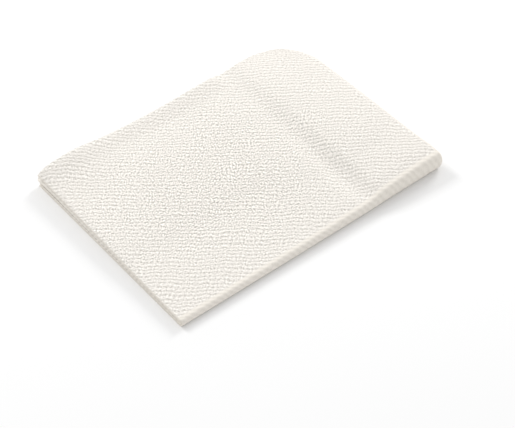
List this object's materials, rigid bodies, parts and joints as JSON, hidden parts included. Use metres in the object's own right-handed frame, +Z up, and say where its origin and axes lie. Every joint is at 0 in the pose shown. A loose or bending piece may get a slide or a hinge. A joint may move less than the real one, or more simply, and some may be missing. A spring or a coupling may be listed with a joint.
{
  "type": "paper napkin",
  "caption": "Folded dispenser napkin of embossed tissue paper: folded in three along its length, then in half, lying flat with its upper half slightly sprung open.",
  "frame": {"origin": "centre of the folded napkin's underside, at the height of the surface that it lies on", "axes": "+X along the folded length, towards the sprung fold; +Y across it, from the closed spine to the cut edges; +Z up"},
  "size_m": [0.12, 0.09, 0.0096],
  "materials": {
    "tissue_paper": "matte off-white tissue, dot embossed"
  },
  "bodies": {
    "root": {"napkin": "tissue_paper"}
  },
  "joints": []
}
